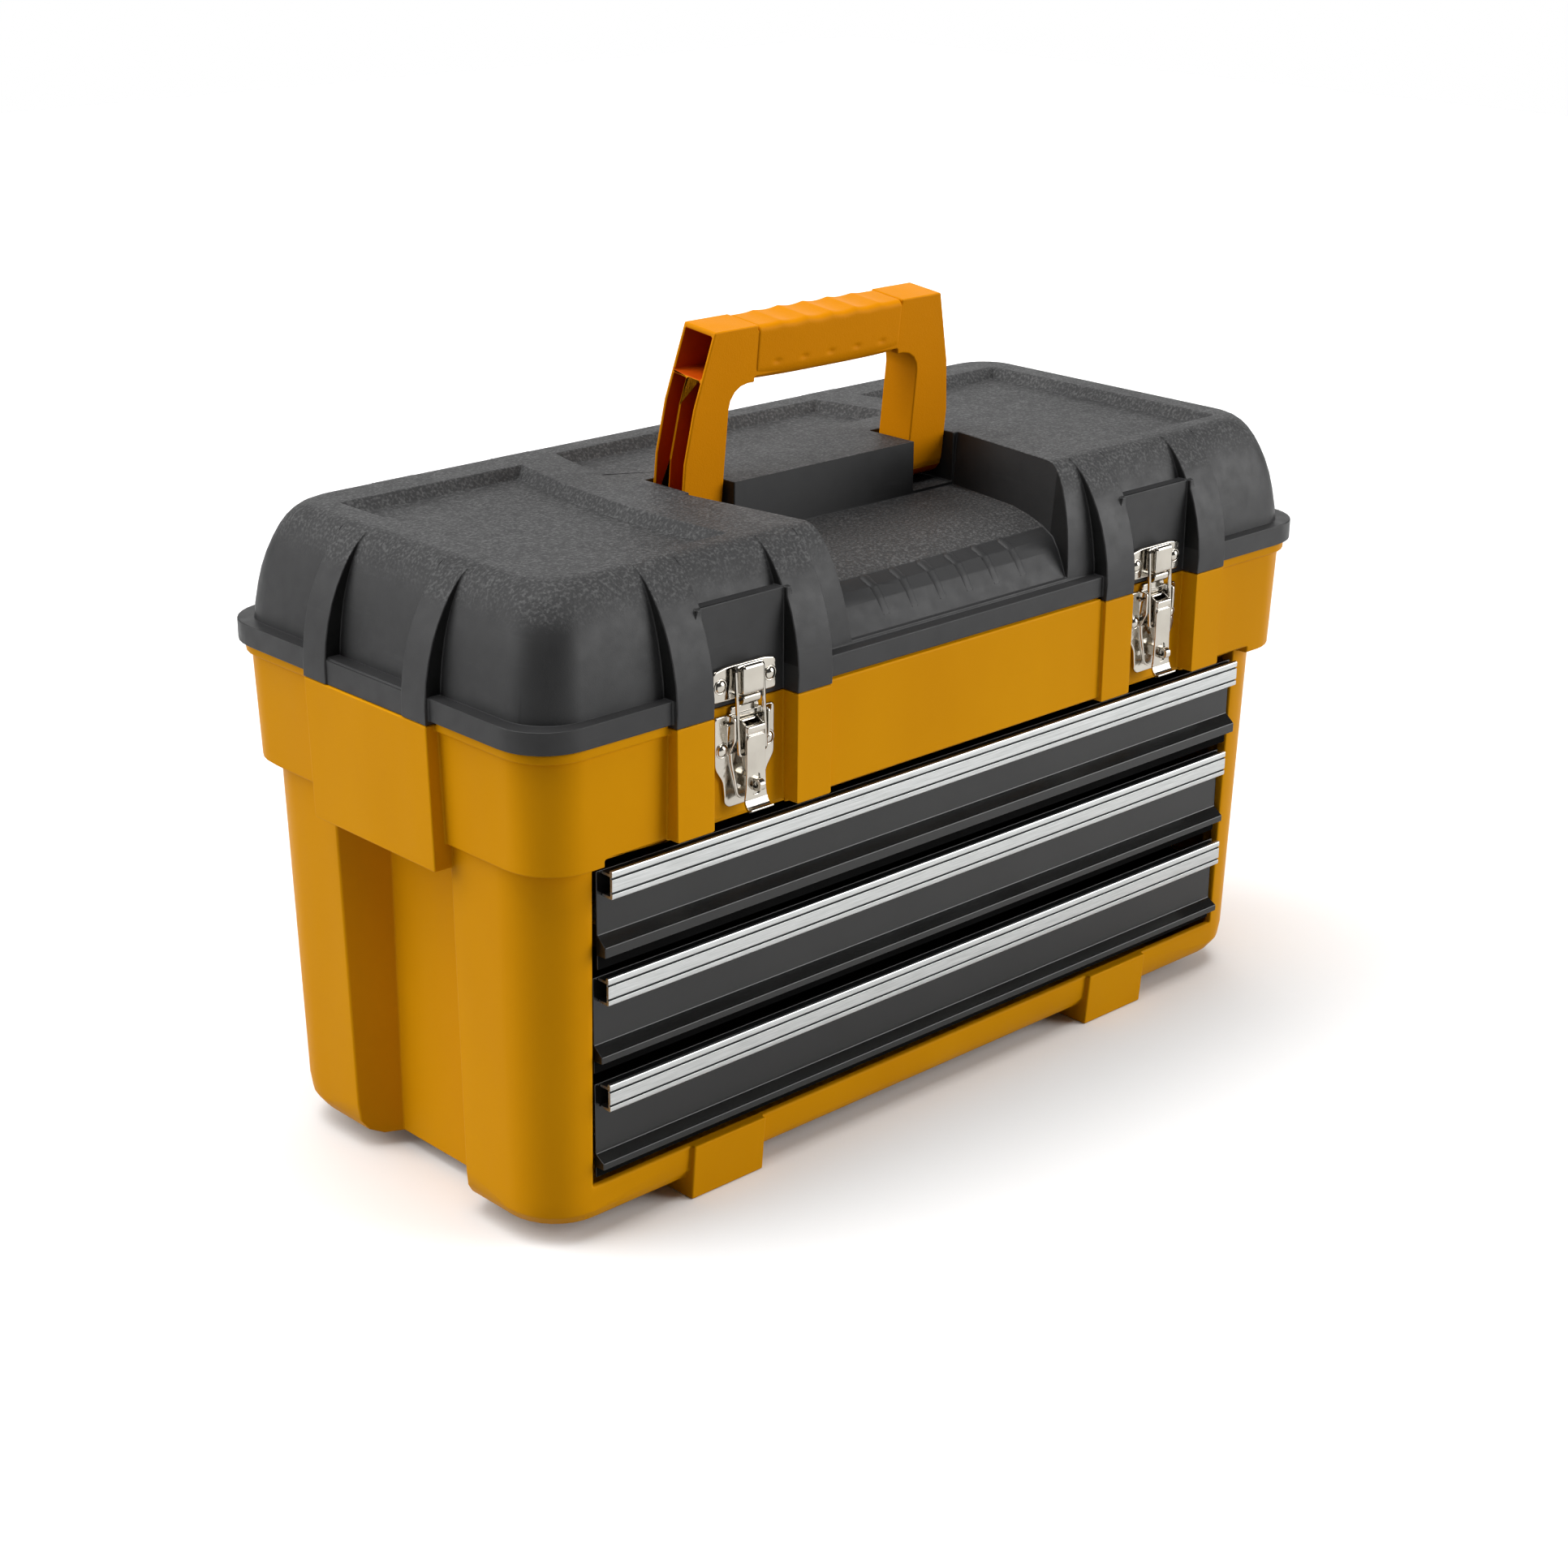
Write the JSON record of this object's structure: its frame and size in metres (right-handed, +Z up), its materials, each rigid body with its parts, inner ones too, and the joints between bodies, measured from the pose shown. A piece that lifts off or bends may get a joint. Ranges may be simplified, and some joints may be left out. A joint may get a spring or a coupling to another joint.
{
  "type": "toolbox with tray",
  "caption": "Portable plastic toolbox with steel drawers in the front, a domed hinged lid, a folding carry handle, two draw latches and a lift-out tray.",
  "frame": {"origin": "on the floor, under the middle of the box's length and depth", "axes": "+X along the length, -Y out of the drawer fronts, +Z up"},
  "size_m": [0.573, 0.2742, 0.4221],
  "materials": {
    "yellow_plastic": "satin moulded",
    "black_plastic": "stippled matte",
    "grey_plastic": "satin moulded",
    "black_steel": "gloss powder coat",
    "aluminium": "brushed anodised",
    "zinc_steel": "zinc plated",
    "nickel_steel": "bright nickel plate"
  },
  "bodies": {
    "body": {"body_shell": "yellow_plastic", "hinge_pin_left": "zinc_steel", "hinge_pin_right": "zinc_steel", "runner_1_left": "zinc_steel", "runner_1_right": "zinc_steel", "runner_2_left": "zinc_steel", "runner_2_right": "zinc_steel", "runner_3_left": "zinc_steel", "runner_3_right": "zinc_steel", "latch_base_left": "nickel_steel", "latch_base_right": "nickel_steel", "latch_pin_left": "nickel_steel", "latch_pin_right": "nickel_steel", "padlock_staple_left": "nickel_steel", "padlock_staple_right": "nickel_steel", "base_rivet_left_1": "nickel_steel", "base_rivet_left_2": "nickel_steel", "base_rivet_right_1": "nickel_steel", "base_rivet_right_2": "nickel_steel"},
    "lid": {"lid_shell": "black_plastic", "handle_pin_left": "zinc_steel", "handle_pin_right": "zinc_steel", "keeper_left": "nickel_steel", "keeper_right": "nickel_steel", "keeper_rivet_left_1": "nickel_steel", "keeper_rivet_left_2": "nickel_steel", "keeper_rivet_right_1": "nickel_steel", "keeper_rivet_right_2": "nickel_steel"},
    "handle": {"handle_frame": "yellow_plastic", "handle_grip": "yellow_plastic"},
    "drawer_1": {"drawer_1_pan": "black_steel", "drawer_1_front": "black_steel", "drawer_1_pull": "aluminium", "drawer_1_slide_left": "zinc_steel", "drawer_1_slide_right": "zinc_steel"},
    "drawer_2": {"drawer_2_pan": "black_steel", "drawer_2_front": "black_steel", "drawer_2_pull": "aluminium", "drawer_2_slide_left": "zinc_steel", "drawer_2_slide_right": "zinc_steel"},
    "drawer_3": {"drawer_3_pan": "black_steel", "drawer_3_front": "black_steel", "drawer_3_pull": "aluminium", "drawer_3_slide_left": "zinc_steel", "drawer_3_slide_right": "zinc_steel"},
    "latch_left": {"latch_lever_left": "nickel_steel"},
    "bail_left": {"latch_bail_left": "nickel_steel"},
    "latch_right": {"latch_lever_right": "nickel_steel"},
    "bail_right": {"latch_bail_right": "nickel_steel"},
    "tray": {"tray_shell": "grey_plastic", "tray_handle": "grey_plastic"}
  },
  "joints": [
    {"name": "lid_hinge", "type": "hinge", "parent": "body", "child": "lid", "pos_m": [0, 0.131, 0.266], "axis": [-1, 0, 0], "range_deg": [0, 100]},
    {"name": "handle_fold", "type": "hinge", "parent": "lid", "child": "handle", "pos_m": [0, -0.003, 0.327], "axis": [1, 0, 0], "range_deg": [-6, 84]},
    {"name": "drawer_1_slide", "type": "slide", "parent": "body", "child": "drawer_1", "axis": [0, -1, 0], "range_m": [-0.004, 0.165]},
    {"name": "drawer_2_slide", "type": "slide", "parent": "body", "child": "drawer_2", "axis": [0, -1, 0], "range_m": [0, 0.165]},
    {"name": "drawer_3_slide", "type": "slide", "parent": "body", "child": "drawer_3", "axis": [0, -1, 0], "range_m": [0, 0.165]},
    {"name": "latch_left_lever", "type": "hinge", "parent": "body", "child": "latch_left", "pos_m": [-0.15255, -0.126, 0.258], "axis": [-1, 0, 0], "range_deg": [0, 110]},
    {"name": "latch_left_bail", "type": "hinge", "parent": "latch_left", "child": "bail_left", "pos_m": [-0.15255, -0.1295, 0.242], "axis": [-1, 0, 0], "range_deg": [-96, 0]},
    {"name": "latch_right_lever", "type": "hinge", "parent": "body", "child": "latch_right", "pos_m": [0.15255, -0.126, 0.258], "axis": [-1, 0, 0], "range_deg": [0, 110]},
    {"name": "latch_right_bail", "type": "hinge", "parent": "latch_right", "child": "bail_right", "pos_m": [0.15255, -0.1295, 0.242], "axis": [-1, 0, 0], "range_deg": [-96, 0]},
    {"name": "tray_lift", "type": "slide", "parent": "body", "child": "tray", "axis": [0, 0, 1], "range_m": [0, 0.02]}
  ],
  "couplings": [
    {"joint": "latch_left_bail", "follows": "latch_left_lever", "ratio": -0.87},
    {"joint": "latch_right_bail", "follows": "latch_right_lever", "ratio": -0.87}
  ]
}
